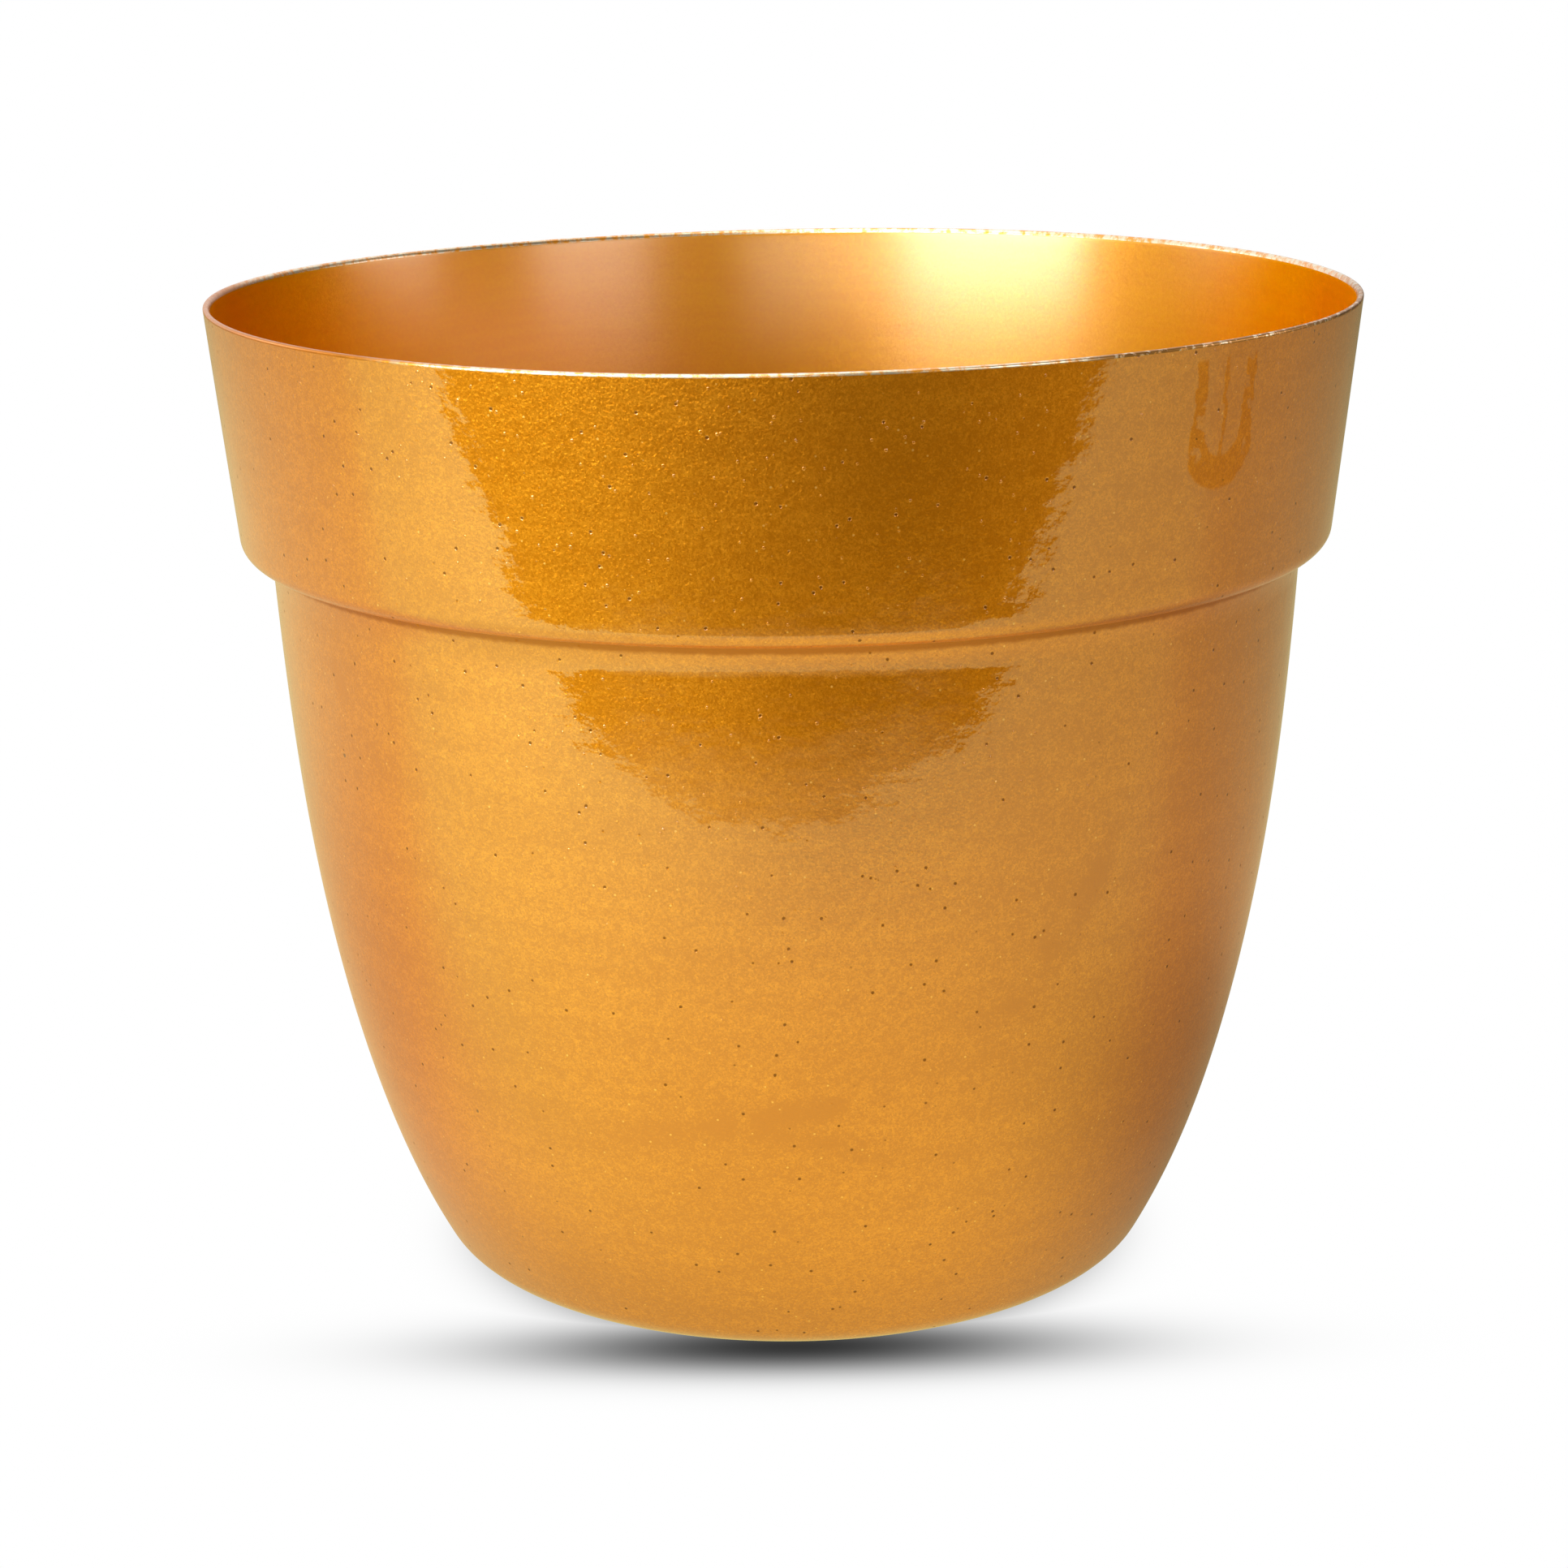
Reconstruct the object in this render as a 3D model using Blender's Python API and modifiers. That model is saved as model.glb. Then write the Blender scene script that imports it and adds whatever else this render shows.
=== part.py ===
"""Brass planter pot: a one-piece spun shell with a stepped collar, a drain plug and four foot pads.

Run it with:  blender --background --python part.py
Metres, +Z up. The origin is on the table, on the pot's axis, below the centre of the base.
"""

from math import asin, cos, pi, radians, sin, tan

import bpy
from mathutils import Vector
from mathutils.geometry import interpolate_bezier

# ---------------------------------------------------------------- driving dimensions (metres, radians)
TOUCH_GAP = 0.0003  # left between pieces that touch

SHEET = 0.0012  # wall of the spun shell, lacquer included
RIM_RADIUS = 0.1000  # outer edge of the mouth
SHELL_HEIGHT = 0.1720  # from the shell's foot ring to the rim
EDGE_ROUND = 0.00045  # softened edges of the trimmed sheet

COLLAR_HEIGHT = 0.0399  # straight band below the rim
COLLAR_TAPER = radians(6.0)  # lean of the collar from upright
SHOULDER_RADIUS = 0.0030  # the collar's lower edge, rolled in
LEDGE = 0.0010  # underside of the step, between the shoulder and the crease
LEDGE_HEADING = radians(85.0)
CREASE_RADIUS = 0.0008  # the step's inner corner
CREASE_HEADING = radians(24.0)  # lean of the wall as it leaves the crease
FLARE_RADIUS = 0.0145  # slow bend from there into the body

BODY_TOP_TAPER = radians(3.3)  # lean of the body just below the step
BODY_TOP_HANDLE = 0.0726  # how strongly the body keeps that lean
BODY_FOOT_TAPER = radians(28.9)  # lean of the body where it meets the corner
BODY_FOOT_HANDLE = 0.0176
CORNER_RADIUS = 0.0088  # turn from the body into the base
FOOT_RING_OUTER = 0.0574  # outer radius of the flat ring that carries the pot
FOOT_RING_INNER = 0.0440
KICK_UP = 0.0030  # rise of the base's middle above the foot ring
KICK_RADIUS = 0.0040  # both bends of that rise
HOLE_RADIUS = 0.0075  # drain hole

PAD_RADIUS = 0.0055
PAD_THICKNESS = 0.0015
PAD_COUNT = 4

PLUG_HEAD_RADIUS = 0.0115
PLUG_HEAD_THICKNESS = 0.0024
PLUG_GRIP_RADIUS = 0.0042  # the nub that is pinched to pull the plug
PLUG_GRIP_HEIGHT = 0.0050
PLUG_GRIP_WAIST = 0.8  # the nub's radius at its foot, as a share of its radius at the top
PLUG_STEM_RADIUS = HOLE_RADIUS - TOUCH_GAP
PLUG_STEM_TIP_RADIUS = 0.0066
PLUG_STEM_LENGTH = 0.0036  # below the underside of the head

RUBBER_ROUND = 0.0004  # softened edges of the moulded rubber pieces

SHELL_SIDES = 56
SMALL_SIDES = 24
INWARD = pi / 2  # heading along a profile that is walked from the rim to the axis; 0 is straight down

# ---------------------------------------------------------------- derived from the dimensions above
SHELL_FOOT = PAD_THICKNESS + TOUCH_GAP  # height of the foot ring above the table
BASE_TOP = SHELL_FOOT + KICK_UP + SHEET  # height of the raised middle's upper face
PAD_CIRCLE = (FOOT_RING_OUTER + FOOT_RING_INNER) / 2


# ---------------------------------------------------------------- helpers
def clear_scene():
    for old in list(bpy.data.objects):
        bpy.data.objects.remove(old)


def new_collection(name):
    made = bpy.data.collections.new(name)
    bpy.context.scene.collection.children.link(made)
    return made


def new_material(name, colour, roughness, metallic):
    made = bpy.data.materials.new(name)
    made.use_nodes = True
    shader = made.node_tree.nodes["Principled BSDF"]
    shader.inputs["Base Color"].default_value = (*colour, 1.0)
    shader.inputs["Roughness"].default_value = roughness
    shader.inputs["Metallic"].default_value = metallic
    return made


def step(heading):
    """Unit vector (radius, height) for a heading along the profile."""
    return Vector((-sin(heading), -cos(heading)))


def bend(start, heading, new_heading, radius, pieces):
    """Points after start on an arc that leaves start with one heading and ends with another."""
    side = 1 if new_heading > heading else -1
    centre = start + side * radius * Vector((-cos(heading), sin(heading)))
    headings = [heading + (new_heading - heading) * i / pieces for i in range(1, pieces + 1)]
    return [centre + side * radius * Vector((cos(a), -sin(a))) for a in headings]


def turned(name, profile, sides, collection):
    """The profile, (radius, height) pairs from its top down its outer side, swept round +Z by a Screw."""
    mesh = bpy.data.meshes.new(name)
    points = [(radius, 0.0, height) for radius, height in profile]
    mesh.from_pydata(points, [(i, i + 1) for i in range(len(points) - 1)], [])
    made = bpy.data.objects.new(name, mesh)
    collection.objects.link(made)
    screw = made.modifiers.new("Turn", "SCREW")
    screw.axis = "Z"
    screw.angle = 2 * pi
    screw.steps = screw.render_steps = sides
    screw.use_merge_vertices = True
    screw.merge_threshold = 0.00001
    screw.use_smooth_shade = True
    return made


def round_edges(target, width):
    bevel = target.modifiers.new("Round edges", "BEVEL")
    bevel.width = width
    bevel.segments = 2
    bevel.limit_method = "ANGLE"
    bevel.angle_limit = radians(50)
    bevel.harden_normals = True


# ---------------------------------------------------------------- spun shell
def shell_profile():
    """Outer face of the shell, from the rim down to the edge of the drain hole."""
    rim = Vector((RIM_RADIUS, SHELL_HEIGHT))
    collar_foot = rim - COLLAR_HEIGHT * Vector((tan(COLLAR_TAPER), 1.0))
    points = [rim, collar_foot]
    points += bend(collar_foot, COLLAR_TAPER, LEDGE_HEADING, SHOULDER_RADIUS, 5)
    points.append(points[-1] + LEDGE * step(LEDGE_HEADING))
    points += bend(points[-1], LEDGE_HEADING, CREASE_HEADING, CREASE_RADIUS, 3)
    points += bend(points[-1], CREASE_HEADING, BODY_TOP_TAPER, FLARE_RADIUS, 3)

    body_top = points[-1]
    corner_top = Vector((
        FOOT_RING_OUTER + CORNER_RADIUS * cos(BODY_FOOT_TAPER),
        CORNER_RADIUS * (1 - sin(BODY_FOOT_TAPER)),
    ))
    points += interpolate_bezier(
        body_top,
        body_top + BODY_TOP_HANDLE * step(BODY_TOP_TAPER),
        corner_top - BODY_FOOT_HANDLE * step(BODY_FOOT_TAPER),
        corner_top,
        13,
    )[1:]
    points += bend(corner_top, BODY_FOOT_TAPER, INWARD, CORNER_RADIUS, 5)
    return points + base_profile()


def base_profile():
    """From the foot ring's inner edge up an S-bend to the raised middle, then in to the drain hole."""
    # Each bend rises by KICK_RADIUS * (1 - cos turn), and the two make the whole rise.
    turn = pi / 2 - asin(1 - KICK_UP / (2 * KICK_RADIUS))
    points = [Vector((FOOT_RING_INNER, 0.0))]
    points += bend(points[-1], INWARD, INWARD + turn, KICK_RADIUS, 2)
    points += bend(points[-1], INWARD + turn, INWARD, KICK_RADIUS, 2)
    points.append(Vector((HOLE_RADIUS, points[-1].y)))
    return points


def build_shell(collection, material):
    shell = turned("pot_shell", shell_profile(), SHELL_SIDES, collection)
    wall = shell.modifiers.new("Sheet", "SOLIDIFY")
    wall.thickness = SHEET
    wall.offset = -1.0
    wall.use_even_offset = True
    round_edges(shell, EDGE_ROUND)
    shell.data.materials.append(material)
    shell.location.z = SHELL_FOOT


# ---------------------------------------------------------------- drain plug
def build_plug(collection, material):
    """A nub to pull it by, a flange that seals on the base, and a tapered stem through the hole."""
    grip_top = PLUG_HEAD_THICKNESS + PLUG_GRIP_HEIGHT
    profile = [
        (0.0, grip_top),
        (PLUG_GRIP_RADIUS, grip_top),
        (PLUG_GRIP_RADIUS * PLUG_GRIP_WAIST, PLUG_HEAD_THICKNESS),
        (PLUG_HEAD_RADIUS, PLUG_HEAD_THICKNESS),
        (PLUG_HEAD_RADIUS, 0.0),
        (PLUG_STEM_RADIUS, 0.0),
        (PLUG_STEM_TIP_RADIUS, -PLUG_STEM_LENGTH),
        (0.0, -PLUG_STEM_LENGTH),
    ]
    plug = turned("drain_plug", profile, SMALL_SIDES, collection)
    round_edges(plug, RUBBER_ROUND)
    plug.data.materials.append(material)
    plug.location.z = BASE_TOP + TOUCH_GAP


# ---------------------------------------------------------------- foot pads
def build_pad(number, collection, material):
    """A round rubber pad on the foot ring; the pads are set half a space off the X axis."""
    angle = 2 * pi * (number - 0.5) / PAD_COUNT
    bpy.ops.mesh.primitive_cylinder_add(
        vertices=SMALL_SIDES,
        radius=PAD_RADIUS,
        depth=PAD_THICKNESS,
        location=(PAD_CIRCLE * cos(angle), PAD_CIRCLE * sin(angle), PAD_THICKNESS / 2),
    )
    pad = bpy.context.object
    pad.name = f"foot_pad_{number}"
    for other in pad.users_collection:
        other.objects.unlink(pad)
    collection.objects.link(pad)
    pad.data.shade_smooth()
    round_edges(pad, RUBBER_ROUND)
    pad.data.materials.append(material)


def main():
    clear_scene()
    parts = new_collection("brass_planter_pot")
    gold_lacquer = new_material("gold_lacquer", (0.62, 0.33, 0.06), 0.28, 0.9)
    black_rubber = new_material("black_rubber", (0.03, 0.03, 0.03), 0.6, 0.0)
    grey_rubber = new_material("grey_rubber", (0.18, 0.17, 0.16), 0.5, 0.0)
    build_shell(parts, gold_lacquer)
    build_plug(parts, black_rubber)
    for number in range(1, PAD_COUNT + 1):
        build_pad(number, parts, grey_rubber)


main()
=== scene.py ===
"""Looks of the brass planter pot: the fine shell, its lacquer, the rubber pieces, the light, the camera.

Metres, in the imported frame: the pot's axis is +Z, the table is z = 0, and the camera stands on the
-Y side. Marks on the wall and lights are placed by their angle from the front, to the right; the
mesh itself turns from +X.
"""

from math import asin, cos, pi, radians, sin, tan

import bpy
from mathutils import Matrix, Vector
from mathutils.geometry import interpolate_bezier


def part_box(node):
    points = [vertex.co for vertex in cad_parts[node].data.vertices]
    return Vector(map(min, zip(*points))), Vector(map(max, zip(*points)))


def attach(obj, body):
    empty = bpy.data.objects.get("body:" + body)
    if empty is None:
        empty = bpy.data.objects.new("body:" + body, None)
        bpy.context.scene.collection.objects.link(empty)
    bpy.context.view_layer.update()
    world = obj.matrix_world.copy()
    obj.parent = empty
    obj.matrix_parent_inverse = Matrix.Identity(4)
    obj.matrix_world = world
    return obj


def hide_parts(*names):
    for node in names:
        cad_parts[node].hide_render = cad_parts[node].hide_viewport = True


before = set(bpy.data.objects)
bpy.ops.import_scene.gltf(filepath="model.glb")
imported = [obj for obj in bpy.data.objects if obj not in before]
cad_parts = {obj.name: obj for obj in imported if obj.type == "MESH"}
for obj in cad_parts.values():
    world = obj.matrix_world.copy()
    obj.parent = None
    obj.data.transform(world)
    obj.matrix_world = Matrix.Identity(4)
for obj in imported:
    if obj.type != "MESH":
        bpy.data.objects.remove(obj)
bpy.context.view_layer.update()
MM = 0.001
MICRON = 1.0e-6

# ---------------------------------------------------------------- shape of the shell
SHELL_LOW, SHELL_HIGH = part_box("pot_shell")
FOOT = SHELL_LOW.z  # the foot ring's height above the table
RIM_HEIGHT = SHELL_HIGH.z - FOOT
RIM_RADIUS = 100.0 * MM
SHEET = 1.2 * MM
RIM_OUTER_ROUND = 0.46 * MM
RIM_INNER_ROUND = (0.60 * MM, 1.3 * MM)  # across and down: the inner edge is burnished to a soft lip

COLLAR_HEIGHT = 39.9 * MM
COLLAR_TAPER = radians(6.0)
SHOULDER_RADIUS = 3.0 * MM
LEDGE = 1.0 * MM
LEDGE_HEADING = radians(85.0)
CREASE_RADIUS = 0.8 * MM
CREASE_HEADING = radians(24.0)
FLARE_RADIUS = 14.5 * MM
BODY_TOP_TAPER = radians(3.3)
BODY_TOP_HANDLE = 72.6 * MM
BODY_FOOT_TAPER = radians(28.9)
BODY_FOOT_HANDLE = 17.6 * MM
CORNER_RADIUS = 8.8 * MM
FOOT_RING_OUTER = 57.4 * MM
FOOT_RING_INNER = 44.0 * MM
KICK_UP = 3.0 * MM
KICK_RADIUS = 4.0 * MM
HOLE_RADIUS = 7.5 * MM
INWARD = pi / 2

TURNS = 360  # faces round the shell
COLLAR_FACES = 26
SHOULDER_FACES = 12
CREASE_FACES = 8
FLARE_FACES = 10
BODY_POINTS = 56
CORNER_FACES = 12
KICK_FACES = 5
BASE_FACES = 8
LIP_FACES = 12
LIP_FACES_INSIDE = 3  # the lip's lowest faces keep the inside's coat
OUTER_ROUND_FACES = 7
SHARP_ANGLE = radians(50)
INSIDE, EDGE, OUTSIDE = 0, 1, 2  # the shell's material slots


def step(heading):
    """Unit step down the outside; a heading of 0 is straight down and a quarter turn is inwards."""
    return Vector((-sin(heading), -cos(heading)))


def bend(start, heading, new_heading, radius, pieces):
    """Points after start on an arc that leaves start with one heading and ends with another."""
    side = 1 if new_heading > heading else -1
    centre = start + side * radius * Vector((-cos(heading), sin(heading)))
    headings = [heading + (new_heading - heading) * i / pieces for i in range(1, pieces + 1)]
    return [centre + side * radius * Vector((cos(a), -sin(a))) for a in headings]


def straight(start, end, pieces):
    """Points after start, up to and with end."""
    return [start.lerp(end, i / pieces) for i in range(1, pieces + 1)]


def outer_profile():
    """(radius, height above the foot ring) from the rim down the outside to the drain hole's edge."""
    rim = Vector((RIM_RADIUS, RIM_HEIGHT))
    collar_foot = rim - COLLAR_HEIGHT * Vector((tan(COLLAR_TAPER), 1.0))
    points = [rim] + straight(rim, collar_foot, COLLAR_FACES)
    points += bend(collar_foot, COLLAR_TAPER, LEDGE_HEADING, SHOULDER_RADIUS, SHOULDER_FACES)
    points += straight(points[-1], points[-1] + LEDGE * step(LEDGE_HEADING), 2)
    points += bend(points[-1], LEDGE_HEADING, CREASE_HEADING, CREASE_RADIUS, CREASE_FACES)
    points += bend(points[-1], CREASE_HEADING, BODY_TOP_TAPER, FLARE_RADIUS, FLARE_FACES)
    body_top = points[-1]
    corner_top = Vector((
        FOOT_RING_OUTER + CORNER_RADIUS * cos(BODY_FOOT_TAPER),
        CORNER_RADIUS * (1 - sin(BODY_FOOT_TAPER)),
    ))
    points += interpolate_bezier(
        body_top,
        body_top + BODY_TOP_HANDLE * step(BODY_TOP_TAPER),
        corner_top - BODY_FOOT_HANDLE * step(BODY_FOOT_TAPER),
        corner_top,
        BODY_POINTS,
    )[1:]
    points += bend(corner_top, BODY_FOOT_TAPER, INWARD, CORNER_RADIUS, CORNER_FACES)
    points += straight(points[-1], Vector((FOOT_RING_INNER, 0.0)), 4)
    turn = pi / 2 - asin(1 - KICK_UP / (2 * KICK_RADIUS))
    points += bend(points[-1], INWARD, INWARD + turn, KICK_RADIUS, KICK_FACES)
    points += bend(points[-1], INWARD + turn, INWARD, KICK_RADIUS, KICK_FACES)
    points += straight(points[-1], Vector((HOLE_RADIUS, points[-1].y)), BASE_FACES)
    return points


def offset_inwards(points, distance):
    """The profile moved to the shell's inner face, along its own normals."""
    moved = []
    for i, point in enumerate(points):
        along = (points[min(i + 1, len(points) - 1)] - points[max(i - 1, 0)]).normalized()
        moved.append(point + distance * Vector((along.y, -along.x)))
    return moved


def inner_lip():
    """The burnished inner edge, from the inner wall up to the rim's top."""
    across, down = RIM_INNER_ROUND
    foot = Vector((
        RIM_RADIUS - SHEET / cos(COLLAR_TAPER) - down * tan(COLLAR_TAPER),
        RIM_HEIGHT - down,
    ))
    lip = []
    for i in range(LIP_FACES + 1):
        a = i / LIP_FACES * pi / 2
        lip.append(foot + Vector((
            across * (1 - cos(a)) + down * tan(COLLAR_TAPER) * sin(a),
            down * sin(a),
        )))
    return lip


def outer_round():
    """The rim's outer edge, from after its top down to the collar's outer face."""
    points = []
    for i in range(1, OUTER_ROUND_FACES + 1):
        a = i / OUTER_ROUND_FACES * pi / 2
        drop = RIM_OUTER_ROUND * (1 - cos(a))
        points.append(Vector((
            RIM_RADIUS - RIM_OUTER_ROUND * (1 - sin(a)) - drop * tan(COLLAR_TAPER),
            RIM_HEIGHT - drop,
        )))
    return points


def shell_section():
    """Closed section: up the inside, over the lip, down the outside. Also the edge's first and end index."""
    outer = outer_profile()
    inner = offset_inwards(outer, SHEET)
    inside = [p for p in reversed(inner) if p.y < RIM_HEIGHT - RIM_INNER_ROUND[1] - 0.3 * MM]
    rim = inner_lip() + outer_round()
    below_round = RIM_HEIGHT - RIM_OUTER_ROUND - 0.1 * MM
    outside = [Vector((RIM_RADIUS - (RIM_HEIGHT - below_round) * tan(COLLAR_TAPER), below_round))]
    outside += [p for p in outer if p.y < below_round - 0.2 * MM]
    return inside + rim + outside, len(inside) + LIP_FACES_INSIDE, len(inside) + len(rim)


def rim_wave(angle):
    """Height error of the hand-trimmed rim round the pot: from 0.76 mm low to 0.45 mm high."""
    return MM * (
        0.20 * cos(angle) - 0.37 * sin(angle)
        + 0.13 * cos(2 * angle) + 0.10 * sin(2 * angle)
        - 0.18 * cos(3 * angle)
    )


def wall_wave(angle, height):
    """Slow dents that spinning leaves in the wall, as a change of radius."""
    return MM * (
        0.05 * sin(3 * angle + 40 * height)
        + 0.04 * sin(5 * angle - 55 * height + 1.1)
        + 0.03 * sin(9 * angle + 90 * height + 2.3)
    )


def smooth_step(low, high, value):
    t = min(max((value - low) / (high - low), 0.0), 1.0)
    return t * t * (3 - 2 * t)


def build_shell():
    section, edge_start, edge_end = shell_section()
    collar_bottom = RIM_HEIGHT - COLLAR_HEIGHT
    count = len(section)
    verts = []
    for turn in range(TURNS):
        angle = 2 * pi * turn / TURNS
        for radius, height in section:
            lift = rim_wave(angle) * smooth_step(collar_bottom, RIM_HEIGHT, height)
            swell = wall_wave(angle, height) * smooth_step(0.0, 20.0 * MM, height)
            r = radius + swell
            verts.append((r * cos(angle), r * sin(angle), FOOT + height + lift))
    faces, finish = [], []
    for turn in range(TURNS):
        here, there = turn * count, (turn + 1) % TURNS * count
        for i in range(count):
            j = (i + 1) % count
            faces.append((here + i, here + j, there + j, there + i))
            finish.append(INSIDE if i < edge_start else EDGE if i < edge_end else OUTSIDE)
    mesh = bpy.data.meshes.new("pot_shell_fine")
    mesh.from_pydata(verts, [], faces)
    for material in (inside_material(), edge_material(), outside_material()):
        mesh.materials.append(material)
    mesh.polygons.foreach_set("material_index", finish)
    mesh.shade_smooth()
    mesh.set_sharp_from_angle(angle=SHARP_ANGLE)
    shell = bpy.data.objects.new("pot_shell_fine", mesh)
    bpy.context.scene.collection.objects.link(shell)
    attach(shell, "pot")
    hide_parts("pot_shell")


# ---------------------------------------------------------------- materials
GOLD = (0.93, 0.350, 0.018)
GOLD_DEEP = (0.64, 0.205, 0.006)  # thin or dirty places in the flake coat; also the painted shade on the rim's left
GOLD_INSIDE = (0.72, 0.315, 0.001)
FLAKE_GLINT = (0.95, 0.47, 0.09)  # painted glint: a flake that lies proud of the rest, lightened as if it caught the light
PIT = (0.26, 0.085, 0.006)
# painted shade on the rim's right
EDGE_SHADE = (0.40, 0.18, 0.045)
# painted shade in the crease under the collar's lower edge
CREASE_SHADE = (0.46, 0.135, 0.004)
# bare metal of the rim, partly a painted sheen
EDGE_METAL_AND_SHEEN = (1.0, 0.82, 0.55)
INSIDE_TINT = (1.0, 0.6, 0.05)  # the satin metal's colour where it is seen at a slant

COAT_IOR = 1.9
COAT_FILM = 0.4  # how much of a full coat shows in the crease; the thinner coat deepens the painted shade there
FLAKES = 4200.0  # flakes per metre
SPOT_RADIUS = 0.097  # radius at which the marks on the wall are measured
CREASE_PLACE = FOOT + RIM_HEIGHT - COLLAR_HEIGHT - 3.5 * MM

RUN_ANGLE = radians(43.6)  # the U-shaped run in the lacquer
RUN_CENTRE = 159.5 * MM  # height of the middle of its round end
RUN_RADIUS = 5.8 * MM

# Marks on the wall: angle in degrees, height, reach across, reach along, lean in degrees.
SCUFFS = (
    (34.0, 88.0 * MM, 3.0 * MM, 9.0 * MM, -15),
    (26.0, 72.0 * MM, 3.5 * MM, 14.0 * MM, -40),
    (-5.0, 50.0 * MM, 26.0 * MM, 2.6 * MM, 10),
    (8.0, 44.0 * MM, 18.0 * MM, 2.0 * MM, -8),
    (-56.0, 116.0 * MM, 5.0 * MM, 3.0 * MM, 20),
)
SPECKS = (
    (-56.2, 103.8 * MM, 0.5 * MM, 0.4 * MM, 0),
    (-42.0, 44.3 * MM, 0.35 * MM, 0.35 * MM, 0),
)
CRINKLED = (-35.5, 161.0 * MM, 4.5 * MM, 9.0 * MM, 0)
SWELL_HIGH = (-26.0, 131.0 * MM, 14.0 * MM, 7.0 * MM, 0)
SWELL_LOW = (-29.0, 108.0 * MM, 11.0 * MM, 7.5 * MM, 0)


class Nodes:
    """A short way to write a material's node tree. Values may be sockets or plain numbers."""

    def __init__(self, name):
        self.material = bpy.data.materials.new(name)
        self.material.use_nodes = True
        self.tree = self.material.node_tree
        self.shader = self.tree.nodes["Principled BSDF"]
        self.where = self.add("TexCoord").outputs["Object"]
        self.x, self.y, self.z = self.add("SeparateXYZ", Vector=self.where).outputs
        self.geometry = self.add("NewGeometry")

    def add(self, kind, settings=None, **inputs):
        """A new node. An underscore in an input's name stands for a space."""
        node = self.tree.nodes.new("ShaderNode" + kind)
        for key, value in (settings or {}).items():
            setattr(node, key, value)
        for key, value in inputs.items():
            self.put(node.inputs[key.replace("_", " ")], value)
        return node

    def put(self, socket, value):
        if isinstance(value, bpy.types.NodeSocket):
            self.tree.links.new(value, socket)
        else:
            socket.default_value = value

    def math(self, operation, *values):
        node = self.add("Math", {"operation": operation})
        for socket, value in zip(node.inputs, values):
            self.put(socket, value)
        return node.outputs[0]

    def vector(self, operation, *values):
        node = self.add("VectorMath", {"operation": operation})
        for socket, value in zip(node.inputs, values):
            self.put(socket, value)
        return node.outputs[0]

    def vector_length(self, vector):
        return self.add("VectorMath", {"operation": "LENGTH"}, Vector=vector).outputs["Value"]

    def scaled(self, vector, factor):
        return self.add("VectorMath", {"operation": "SCALE"}, Vector=vector, Scale=factor).outputs[0]

    def total(self, first, *others):
        for other in others:
            first = self.math("ADD", first, other)
        return first

    def product(self, first, *others):
        for other in others:
            first = self.math("MULTIPLY", first, other)
        return first

    def away(self, value, place):
        """Distance of a value from a place, without its sign."""
        return self.math("ABSOLUTE", self.math("SUBTRACT", value, place))

    def ramp(self, value, low, high, at_low=0.0, at_high=1.0):
        """Smooth change from at_low, where value is low, to at_high, where value is high."""
        node = self.add("MapRange", {"interpolation_type": "SMOOTHSTEP"}, Value=value)
        ends = (("From Min", low), ("From Max", high), ("To Min", at_low), ("To Max", at_high))
        for key, number in ends:
            self.put(node.inputs[key], number)
        return node.outputs["Result"]

    def noise(self, scale, detail=2.0, roughness=0.5, where=None):
        return self.add(
            "TexNoise", Vector=where or self.where, Scale=scale, Detail=detail, Roughness=roughness
        ).outputs["Fac"]

    def stretched(self, across, along):
        """The place, with its two horizontal axes and its height scaled apart."""
        return self.vector("MULTIPLY", self.where, (across, across, along))

    def blend(self, factor, first, second):
        node = self.add("Mix", {"data_type": "RGBA"})
        self.put(node.inputs[0], factor)
        for socket, value in ((node.inputs[6], first), (node.inputs[7], second)):
            self.put(socket, (*value, 1.0) if isinstance(value, tuple) else value)
        return node.outputs[2]

    def dots(self, scale, share, size):
        """Dots in a random share of the cells of a Voronoi pattern; size is a share of the cell."""
        cells = self.add("TexVoronoi", Vector=self.where, Scale=scale)
        kept = self.add("SeparateColor", Color=cells.outputs["Color"]).outputs[0]
        inside = self.ramp(cells.outputs["Distance"], size * 0.5, size, 1.0, 0.0)
        return self.product(inside, self.math("LESS_THAN", kept, share))

    def cell_value(self, scale):
        """A random number from 0 to 1 for each cell of a Voronoi pattern."""
        cells = self.add("TexVoronoi", Vector=self.where, Scale=scale)
        return self.add("SeparateColor", Color=cells.outputs["Color"]).outputs[1]

    def along_wall(self):
        """Distance round the wall from the front, to the right positive."""
        return self.product(self.angle(), SPOT_RADIUS)

    def angle(self):
        return self.math("ARCTAN2", self.x, self.product(self.y, -1.0))

    def bell(self, angle, height, across, along, lean):
        """A soft blob on the wall. Angle and lean in degrees; the rest in metres."""
        u = self.math("SUBTRACT", self.along_wall(), SPOT_RADIUS * radians(angle))
        v = self.math("SUBTRACT", self.z, height)
        if lean:
            a = radians(lean)
            turned_u = self.total(self.product(u, cos(a)), self.product(v, sin(a)))
            v = self.math("SUBTRACT", self.product(v, cos(a)), self.product(u, sin(a)))
            u = turned_u
        reach = self.total(
            self.math("POWER", self.product(u, 1 / across), 2.0),
            self.math("POWER", self.product(v, 1 / along), 2.0),
        )
        return self.math("EXPONENT", self.product(reach, -1.0))

    def crease_shade(self):
        """Painted shade in the crease under the collar's lower edge: 0 there, 1 away from it."""
        off = self.away(self.z, CREASE_PLACE)
        ragged = self.product(self.math("SUBTRACT", self.noise(500.0), 0.5), 0.7 * MM)
        return self.ramp(self.total(off, ragged), 0.25 * MM, 1.15 * MM)

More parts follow.
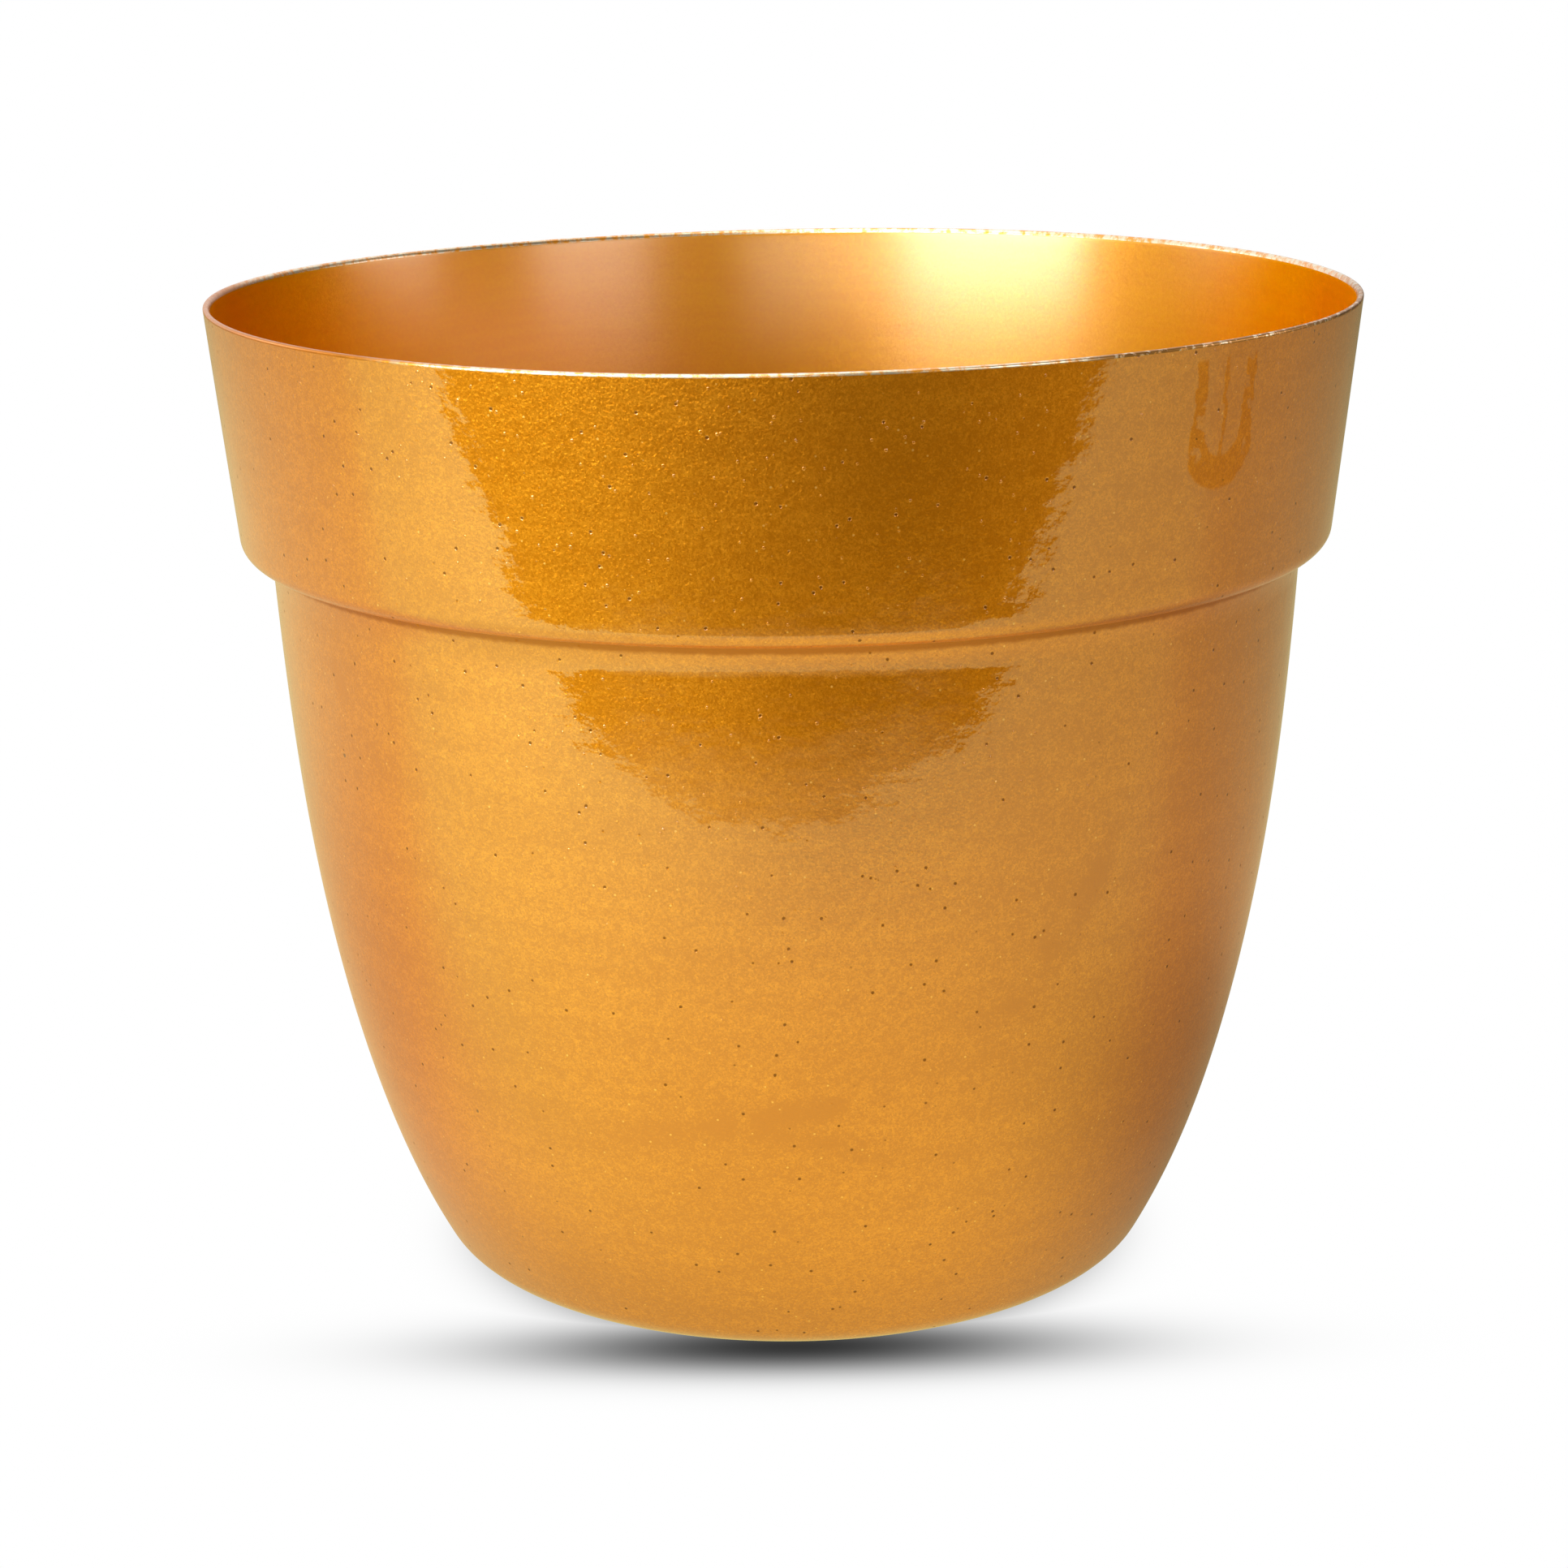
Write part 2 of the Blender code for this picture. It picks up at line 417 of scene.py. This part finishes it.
    def flake_normal(self, tilt):
        """Each flake lies a little askew."""
        flake = self.add("TexVoronoi", Vector=self.where, Scale=FLAKES).outputs["Color"]
        askew = self.scaled(self.vector("SUBTRACT", flake, (0.5, 0.5, 0.5)), tilt)
        return self.vector("NORMALIZE", self.vector("ADD", self.geometry.outputs["Normal"], askew))

    def bump(self, height, normal=None):
        """Height in metres."""
        node = self.add("Bump", Strength=1.0, Distance=1.0, Height=height)
        if normal:
            self.put(node.inputs["Normal"], normal)
        return node.outputs["Normal"]

    def finish(self, **sockets):
        """Sets the shader's own sockets and gives the material."""
        for key, value in sockets.items():
            if isinstance(value, tuple) and len(value) == 3:
                value = (*value, 1.0)
            self.put(self.shader.inputs[key.replace("_", " ")], value)
        return self.material


def lacquer_run(n):
    """U-shaped run that hangs from the rim, with a thin one in its middle: 1 where the lacquer piled up."""
    wobble = n.product(n.math("SUBTRACT", n.noise(330.0), 0.5), 2.4 * MM)
    u = n.total(n.along_wall(), -SPOT_RADIUS * RUN_ANGLE, wobble)
    below = n.math("MINIMUM", n.math("SUBTRACT", n.z, RUN_CENTRE), 0.0)
    reach = n.math("SQRT", n.total(n.product(u, u), n.product(below, below)))
    width = n.ramp(n.z, 152.0 * MM, 163.0 * MM, 3.2 * MM, 1.5 * MM)
    legs = n.ramp(n.math("DIVIDE", n.away(reach, RUN_RADIUS), width), 0.75, 1.05, 1.0, 0.0)
    middle = n.product(
        n.ramp(n.math("ABSOLUTE", u), 0.35 * MM, 0.7 * MM, 1.0, 0.0),
        n.ramp(n.z, 154.0 * MM, 155.0 * MM),
    )
    patchy = n.ramp(n.noise(420.0), 0.36, 0.44, 0.25, 1.0)
    whole_end = n.ramp(n.z, 154.0 * MM, 158.0 * MM, 1.0, 0.0)
    return n.product(
        n.math("MAXIMUM", legs, n.product(middle, 0.8)),
        n.math("MAXIMUM", patchy, whole_end),
        n.ramp(n.z, 171.0 * MM, 172.4 * MM, 1.0, 0.0),  # not over the rim
        n.math("LESS_THAN", n.y, 0.0),  # not at the back
    )


def outside_material():
    """Gold flakes under a glossy clear coat with orange peel, nibs, pits, scuffs and a run, painted glints
    on a few flakes and painted shade in the crease under the collar.
    """
    n = Nodes("gold_lacquer_outside")
    run = lacquer_run(n)
    pits = n.dots(290.0, 0.90, 0.105)
    nibs = n.dots(250.0, 0.90, 0.075)
    flake_glints = n.dots(900.0, 0.07, 0.22)
    wiped = n.noise(1.0, detail=4.0, roughness=0.6, where=n.stretched(22.0, 260.0))
    cloud = n.noise(38.0, detail=3.0, roughness=0.55)
    grain = n.total(n.product(n.cell_value(5000.0), 0.50), n.product(n.cell_value(2700.0), 0.50))
    crease = n.crease_shade()
    scuffs = n.total(*(n.bell(*mark) for mark in SCUFFS))
    specks = n.ramp(n.total(*(n.bell(*mark) for mark in SPECKS)), 0.3, 0.6)
    smeared = n.product(scuffs, n.ramp(n.noise(150.0, detail=4.0), 0.35, 0.65))

    dull = n.total(
        n.ramp(cloud, 0.30, 0.72, 0.16, 0.0),
        n.ramp(n.noise(700.0), 0.35, 0.65, 0.20, 0.0),
        n.ramp(wiped, 0.35, 0.70, 0.17, 0.0),
        grain,
        n.product(smeared, 0.75),
    )
    colour = n.blend(dull, GOLD, GOLD_DEEP)
    # painted glints on a few flakes
    colour = n.blend(flake_glints, colour, FLAKE_GLINT)
    colour = n.blend(n.math("MAXIMUM", pits, specks), colour, PIT)
    # painted shade in the crease under the collar
    colour = n.blend(crease, CREASE_SHADE, colour)

    crinkle = n.add(
        "TexWave", {"bands_direction": "DIAGONAL"},
        Vector=n.where, Scale=430.0, Distortion=7.0, Detail=2.0, Detail_Scale=1.6,
    ).outputs["Fac"]
    peel = n.total(
        n.product(n.noise(250.0, detail=1.0), 56.0 * MICRON),
        n.product(n.noise(620.0, detail=1.0), 10.0 * MICRON),
        n.product(n.noise(1.0, where=n.stretched(90.0, 450.0)), 9.0 * MICRON),
        n.product(n.noise(70.0, detail=1.0), 110.0 * MICRON),
        n.product(n.noise(1500.0, detail=1.0), 8.0 * MICRON),
        n.product(n.dots(420.0, 0.80, 0.11), 28.0 * MICRON),
        n.product(nibs, 42.0 * MICRON),
        n.product(pits, -45.0 * MICRON),
        n.product(n.bell(*SWELL_HIGH), 110.0 * MICRON),
        n.product(n.bell(*SWELL_LOW), 130.0 * MICRON),
        n.product(run, 25.0 * MICRON),
        n.product(n.bell(*CRINKLED), crinkle, 14.0 * MICRON),
    )
    under_coat = n.total(peel, n.product(n.noise(1900.0, detail=1.0), 60.0 * MICRON))
    coat = n.product(
        n.ramp(run, 0.0, 1.0, 1.0, 0.2),
        n.ramp(pits, 0.0, 1.0, 1.0, 0.3),
        # less coat in the crease deepens its painted shade
        n.total(COAT_FILM, n.product(crease, 1.0 - COAT_FILM)),
    )
    return n.finish(
        Base_Color=colour,
        Metallic=1.0,
        Roughness=n.total(0.40, n.product(cloud, 0.04), n.product(smeared, 0.08)),
        Normal=n.bump(under_coat, n.flake_normal(0.11)),
        Coat_Weight=coat,
        Coat_Roughness=0.05,
        Coat_IOR=COAT_IOR,
        Coat_Normal=n.bump(peel),
    )


def inside_material():
    """Satin gold, with a soft sheen where it faces the eye."""
    n = Nodes("gold_satin_inside")
    drawn = n.noise(1.0, detail=3.0, roughness=0.6, where=n.stretched(40.0, 600.0))
    cloud = n.noise(55.0, detail=3.0)
    grain = n.noise(1500.0)
    dull = n.total(
        n.ramp(drawn, 0.3, 0.7, 0.16, 0.0),
        n.ramp(cloud, 0.3, 0.7, 0.16, 0.0),
        n.ramp(grain, 0.3, 0.7, 0.2, 0.0),
    )
    colour = n.blend(dull, GOLD_INSIDE, GOLD_DEEP)
    colour = n.blend(n.dots(170.0, 0.15, 0.04), colour, PIT)
    height = n.total(n.product(grain, 3.0 * MICRON), n.product(drawn, 6.0 * MICRON))
    slant = n.add("LayerWeight").outputs["Facing"]
    return n.finish(
        Base_Color=colour,
        Metallic=1.0,
        Roughness=n.total(0.46, n.product(cloud, 0.06)),
        Specular_Tint=INSIDE_TINT,
        Normal=n.flake_normal(0.10),
        Coat_Weight=n.ramp(slant, 0.16, 0.52, 0.85, 0.0),
        Coat_Roughness=0.25,
        Coat_IOR=1.95,
        Coat_Normal=n.bump(height),
    )


def edge_material():
    """The trimmed and burnished rim: bare bright metal under thin lacquer, a little ragged, its brightness
    partly a painted sheen; painted shade darkens the rim on its left and right.
    """
    n = Nodes("gold_trimmed_edge")
    nick = n.noise(700.0, detail=3.0, roughness=0.6)
    # pale bare metal in ragged spots, partly a painted sheen
    colour = n.blend(n.ramp(nick, 0.35, 0.62), GOLD, EDGE_METAL_AND_SHEEN)
    angle = n.angle()
    # painted shade: the rim darker on its left, with less coat
    left_shade = n.product(  # on the left
        n.ramp(angle, radians(-110), radians(-95)),
        n.ramp(angle, radians(-42), radians(-28), 1.0, 0.0),
    )
    # painted shade: the rim darker and patchy on its right, with less coat
    right_shade = n.product(  # on the right
        n.ramp(angle, radians(22), radians(31)),
        n.ramp(angle, radians(80), radians(105), 1.0, 0.0),
        n.ramp(n.noise(1100.0), 0.52, 0.62, 1.0, 0.2),
    )
    colour = n.blend(left_shade, colour, GOLD_DEEP)
    colour = n.blend(right_shade, colour, EDGE_SHADE)
    return n.finish(
        Base_Color=colour,
        Metallic=1.0,
        Roughness=n.ramp(nick, 0.3, 0.7, 0.42, 0.3),
        Normal=n.bump(n.product(nick, 20.0 * MICRON)),
        Coat_Weight=n.math("SUBTRACT", 1.0, n.math("MAXIMUM", right_shade, n.product(left_shade, 0.7))),
        Coat_Roughness=0.15,
        Coat_IOR=1.8,
    )


def rubber_material(name, colour, roughness, grain_scale):
    n = Nodes(name)
    grain = n.noise(grain_scale, detail=3.0, roughness=0.6)
    bloom = n.noise(180.0, detail=3.0)
    lighter = tuple(c * 1.6 + 0.012 for c in colour)
    relief = n.total(n.product(grain, 18.0 * MICRON), n.product(bloom, 12.0 * MICRON))
    return n.finish(
        Base_Color=n.blend(n.ramp(bloom, 0.45, 0.8, 0.0, 0.6), colour, lighter),
        Roughness=n.total(roughness - 0.06, n.product(grain, 0.12)),
        Normal=n.bump(relief),
        Sheen_Weight=0.12,
    )


# ---------------------------------------------------------------- rubber pieces
PLUG_BLACK = (0.028, 0.028, 0.030)
PAD_GREY = (0.15, 0.145, 0.14)
MOULD_ROUND = 0.4 * MM
PLUG_STEM = 3.6 * MM  # length of the stem below the flange


def lathe(name, profile, centre, sides=96):
    """A closed solid of revolution; the profile runs from the axis at the top to the axis at the bottom."""
    rings = [p for p in profile if p[0] > 1e-7]
    verts = [(centre.x + r * cos(2 * pi * k / sides), centre.y + r * sin(2 * pi * k / sides), z)
             for r, z in rings for k in range(sides)]
    top, bottom = len(verts), len(verts) + 1
    verts += [(centre.x, centre.y, profile[0][1]), (centre.x, centre.y, profile[-1][1])]
    last = (len(rings) - 1) * sides
    faces = []
    for k in range(sides):
        j = (k + 1) % sides
        faces.append((top, k, j))
        faces.append((bottom, last + j, last + k))
        for i in range(len(rings) - 1):
            a = i * sides
            faces.append((a + k, a + sides + k, a + sides + j, a + j))
    mesh = bpy.data.meshes.new(name)
    mesh.from_pydata(verts, [], faces)
    mesh.shade_smooth()
    mesh.set_sharp_from_angle(angle=radians(40))
    made = bpy.data.objects.new(name, mesh)
    bpy.context.scene.collection.objects.link(made)
    return made


def rounded(points, radius, pieces=5):
    """The (radius, height) profile with its inner corners rounded off."""
    out = [points[0]]
    for before, here, after in zip(points, points[1:], points[2:]):
        here = Vector(here)
        back, on = (Vector(before) - here), (Vector(after) - here)
        r = min(radius, back.length * 0.45, on.length * 0.45)
        start, end = here + back.normalized() * r, here + on.normalized() * r
        for i in range(pieces + 1):
            t = i / pieces
            out.append(tuple(start.lerp(here, t).lerp(here.lerp(end, t), t)))
    return out + [points[-1]]


def build_rubber():
    plug_rubber = rubber_material("plug_rubber", PLUG_BLACK, 0.55, 2600.0)
    pad_rubber = rubber_material("pad_rubber", PAD_GREY, 0.62, 1900.0)
    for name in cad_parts:
        if name == "pot_shell":
            continue
        low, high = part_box(name)
        centre = (low + high) / 2
        is_plug = name == "drain_plug"
        if is_plug:
            piece = build_plug(low, high, centre)
        else:
            piece = build_pad(name, low, high, centre)
        piece.data.materials.append(plug_rubber if is_plug else pad_rubber)
        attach(piece, "plug" if is_plug else "pot")
        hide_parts(name)


def build_plug(low, high, centre):
    """Nub with a waist and a dimple, a domed flange with a raised ring, and a tapered stem with a lip."""
    seat = low.z + PLUG_STEM  # underside of the flange
    outer = (high.x - low.x) / 2
    profile = rounded([
        (0.0, high.z - 0.5 * MM),
        (2.2 * MM, high.z - 0.35 * MM),
        (3.1 * MM, high.z),
        (4.2 * MM, high.z),
        (4.2 * MM, high.z - 1.3 * MM),
        (3.3 * MM, high.z - 3.2 * MM),
        (3.5 * MM, seat + 2.4 * MM),
        (7.4 * MM, seat + 2.3 * MM),
        (7.9 * MM, seat + 2.05 * MM),
        (8.5 * MM, seat + 2.05 * MM),
        (9.0 * MM, seat + 2.2 * MM),
        (outer - 0.4 * MM, seat + 2.1 * MM),
        (outer, seat + 1.5 * MM),
        (outer, seat + 0.05 * MM),
        (7.2 * MM, seat),
        (7.1 * MM, seat - 1.6 * MM),
        (6.6 * MM, low.z + 0.1 * MM),
        (0.0, low.z),
    ], MOULD_ROUND)
    return lathe("drain_plug_fine", profile, centre)


def build_pad(name, low, high, centre):
    """A round foot with a soft edge and a shallow ring moulded in its underside."""
    outer = (high.x - low.x) / 2
    profile = rounded([
        (0.0, high.z),
        (outer, high.z),
        (outer, low.z),
        (4.0 * MM, low.z),
        (3.7 * MM, low.z + 0.25 * MM),
        (2.9 * MM, low.z + 0.25 * MM),
        (2.6 * MM, low.z),
        (0.0, low.z),
    ], MOULD_ROUND)
    return lathe(name + "_fine", profile, centre, sides=64)


# ---------------------------------------------------------------- camera
CAMERA_PLACE = Vector((0.0, -0.5955, 0.2473 + FOOT))
CAMERA_PITCH = radians(15.47)
CAMERA_ROLL = radians(-0.74)
CAMERA_YAW = radians(0.09)
LENS = 78.22
SENSOR = 36.0


def build_camera():
    data = bpy.data.cameras.new("camera")
    data.lens = LENS
    data.sensor_width = SENSOR
    data.clip_start = 10.0 * MM
    camera = bpy.data.objects.new("camera", data)
    bpy.context.scene.collection.objects.link(camera)
    turn = (
        Matrix.Rotation(CAMERA_YAW, 4, "Z")
        @ Matrix.Rotation(pi / 2 - CAMERA_PITCH, 4, "X")
        @ Matrix.Rotation(CAMERA_ROLL, 4, "Z")
    )
    camera.matrix_world = Matrix.Translation(CAMERA_PLACE) @ turn
    bpy.context.scene.camera = camera


# ---------------------------------------------------------------- studio
WHITE = (1.0, 1.0, 1.0, 1.0)
FLOOR_SIZE = 16.0
TABLE_EDGE = -0.296  # the lit table ends here, in front of the pot, and the room beyond is dark
TABLE_SKEW = 0.05
TABLE_NEAR = (1.18, 1.10, 0.37)  # what the pot sees of the table: warm near its foot, paler further out
TABLE_FAR = (1.0, 0.96, 0.45)
TABLE_LEFT = (1.12, 1.34, 0.58)  # the side that the key light falls on
TABLE_BACK = (1.12, 0.80, 0.40)  # behind the pot, near and far
TABLE_BACK_FAR = (1.0, 0.83, 0.42)
CAST_ALONG = (0.755, 0.656)  # the way the key light throws the pot's own shadow, away from the camera
CAST_DEPTH = 0.5
BRINK_REACH = 0.10  # a dim glow just past the middle of the table's edge
BRINK_GLOW = 0.45
SHADOW_PLACE = -0.0575  # the contact shadow under the front of the base
SHADOW_REACH = (0.0315, 0.0072)
SHADOW_DEPTH = 0.78
UNDER_PLACE = 0.048  # the fainter shadow all round, under the corner of the base
UNDER_REACH = 0.0075
UNDER_DEPTH = 0.45

KEY_COLOUR = (0.98, 1.10, 1.12)
PLAIN_COLOUR = (1.0, 1.0, 1.0)
# Name, azimuth and elevation in degrees, size in metres, watts, colour.
LIGHTS = (
    ("key_left", -49.0, 14.0, (1.0, 0.62), 16.4, KEY_COLOUR),
    ("fill_right", 44.0, 14.0, (0.6, 0.62), 3.4, PLAIN_COLOUR),
    ("front_high", -24.0, 42.0, (0.8, 0.6), 4.0, PLAIN_COLOUR),
    ("front_low", -10.0, 5.0, (0.8, 0.3), 2.3, PLAIN_COLOUR),
    ("overhead", -40.0, 72.0, (1.0, 1.0), 5.8, PLAIN_COLOUR),
    ("rim_left", -112.0, 14.0, (0.5, 0.6), 1.3, PLAIN_COLOUR),
    ("rim_right", 97.0, 14.0, (0.6, 0.6), 2.8, PLAIN_COLOUR),
)
LIGHT_DISTANCE = 1.3
LIGHT_CENTRE = Vector((0.0, 0.0, 0.1))  # the lights stand round this point
LIGHT_AIM = Vector((0.0, 0.0, 0.09))

ROOM_GLOW = 0.03
CEILING_GLOW = 0.95
CEILING_LEAN = (-0.45, 0.7, 1.0)  # the pale part comes down lower on the left and behind the pot


def painted_white(n, distance):
    """The floor's brightness for the camera: white, with the soft shadows at the pot's foot."""
    reach = n.total(
        n.math("POWER", n.product(n.x, 1 / SHADOW_REACH[0]), 2.0),
        n.math("POWER", n.product(n.math("SUBTRACT", n.y, SHADOW_PLACE), 1 / SHADOW_REACH[1]), 2.0),
    )
    under = n.math("POWER", n.product(n.math("SUBTRACT", distance, UNDER_PLACE), 1 / UNDER_REACH), 2.0)
    shadow = n.math(
        "MAXIMUM",
        n.product(n.math("EXPONENT", n.product(reach, -0.5)), SHADOW_DEPTH),
        n.product(n.math("EXPONENT", n.product(under, -0.5)), UNDER_DEPTH),
    )
    return n.math("POWER", n.math("SUBTRACT", 1.0, shadow), 2.2)


def table_colour(n, distance):
    colour = n.blend(n.ramp(distance, 0.07, 0.26), TABLE_NEAR, TABLE_FAR)
    colour = n.blend(n.ramp(n.x, -0.25, 0.05, 0.6, 0.0), colour, TABLE_LEFT)
    behind = n.blend(n.ramp(distance, 0.15, 0.40), TABLE_BACK, TABLE_BACK_FAR)
    return n.blend(n.ramp(n.y, -0.09, 0.0), colour, behind)


def table_level(n, distance):
    """The table's painted light and shade: how bright the pot sees each place of it."""
    along = n.total(n.product(n.x, CAST_ALONG[0]), n.product(n.y, CAST_ALONG[1]))
    aside = n.away(n.product(n.y, CAST_ALONG[0]), n.product(n.x, CAST_ALONG[1]))
    cast = n.product(
        n.ramp(along, -0.03, 0.08),
        n.ramp(along, 0.11, 0.24, 1.0, 0.1),
        n.ramp(aside, 0.07, 0.22, 1.0, 0.0),
    )
    place = n.total(n.y, n.product(n.x, TABLE_SKEW))
    brink = n.product(
        n.ramp(place, TABLE_EDGE - BRINK_REACH, TABLE_EDGE, 0.0, BRINK_GLOW),
        n.ramp(n.math("ABSOLUTE", n.x), 0.12, 0.25, 1.0, 0.0),
    )
    back_level = n.ramp(n.x, -0.45, -0.15, 0.95, 0.74)
    return n.product(
        n.ramp(n.x, -0.45, 0.45, 1.06, 0.68),  # brighter on the left
        n.ramp(distance, 0.3, 1.3, 1.0, 0.5),  # duller far out
        n.ramp(n.y, -0.30, -0.08, 1.28, 1.0),  # brightest at the front edge
        n.ramp(n.y, -0.09, 0.04, 1.0, back_level),
        n.ramp(distance, 0.05, 0.10, 0.75, 1.0),  # darker round the pot's foot
        n.math("SUBTRACT", 1.0, n.product(cast, CAST_DEPTH)),
        n.math("MAXIMUM", n.math("GREATER_THAN", place, TABLE_EDGE), brink),
    )


def build_floor():
    """A plain white floor with painted shadows to the camera; to the pot, a glowing table painted with light
    and shade, in front of a dark room.
    """
    bpy.ops.mesh.primitive_plane_add(size=FLOOR_SIZE, location=(0, 0, 0))
    floor = bpy.context.object
    floor.name = "floor"
    n = Nodes("floor")
    distance = n.vector_length(n.where)
    seen = n.add("Emission", Color=WHITE, Strength=painted_white(n, distance))
    mirrored = n.add("Emission", Color=table_colour(n, distance), Strength=table_level(n, distance))
    pick = n.add("MixShader")
    n.put(pick.inputs[0], n.add("LightPath").outputs["Is Camera Ray"])
    n.put(pick.inputs[1], mirrored.outputs[0])
    n.put(pick.inputs[2], seen.outputs[0])
    n.tree.links.new(pick.outputs[0], n.tree.nodes["Material Output"].inputs["Surface"])
    n.tree.nodes.remove(n.shader)
    floor.data.materials.append(n.material)


def softbox(name, azimuth, elevation, size, watts, colour):
    """A soft light aimed at the pot. Azimuth from the front, to the right, and elevation, in degrees."""
    a, e = radians(azimuth), radians(elevation)
    way = Vector((cos(e) * sin(a), -cos(e) * cos(a), sin(e)))
    place = LIGHT_CENTRE + LIGHT_DISTANCE * way
    data = bpy.data.lights.new(name, "AREA")
    data.shape = "RECTANGLE"
    data.size, data.size_y = size
    data.energy = watts
    data.color = colour
    light = bpy.data.objects.new(name, data)
    bpy.context.scene.collection.objects.link(light)
    light.location = place
    light.rotation_euler = (LIGHT_AIM - place).to_track_quat("-Z", "Y").to_euler()


def build_world():
    """White to the camera; to the pot, a dark room under a pale ceiling."""
    world = bpy.data.worlds.new("studio")
    bpy.context.scene.world = world
    world.use_nodes = True
    tree = world.node_tree
    tree.nodes.clear()
    add, link = (lambda kind: tree.nodes.new("ShaderNode" + kind)), tree.links.new
    toward = add("VectorMath")
    toward.operation = "DOT_PRODUCT"
    link(add("TexCoord").outputs["Generated"], toward.inputs[0])
    toward.inputs[1].default_value = CEILING_LEAN
    ceiling = add("MapRange")
    ceiling.interpolation_type = "SMOOTHSTEP"
    ends = (("From Min", 0.35), ("From Max", 0.85), ("To Min", ROOM_GLOW), ("To Max", CEILING_GLOW))
    for key, value in ends:
        ceiling.inputs[key].default_value = value
    link(toward.outputs["Value"], ceiling.inputs["Value"])
    strength = add("Math")
    strength.operation = "MAXIMUM"
    link(add("LightPath").outputs["Is Camera Ray"], strength.inputs[0])
    link(ceiling.outputs["Result"], strength.inputs[1])
    background = add("Background")
    link(strength.outputs[0], background.inputs["Strength"])
    background.inputs["Color"].default_value = WHITE
    link(background.outputs[0], add("OutputWorld").inputs["Surface"])


def main():
    build_shell()
    build_rubber()
    build_camera()
    build_floor()
    build_world()
    for light in LIGHTS:
        softbox(*light)
    bpy.context.scene.view_settings.view_transform = "Standard"


main()
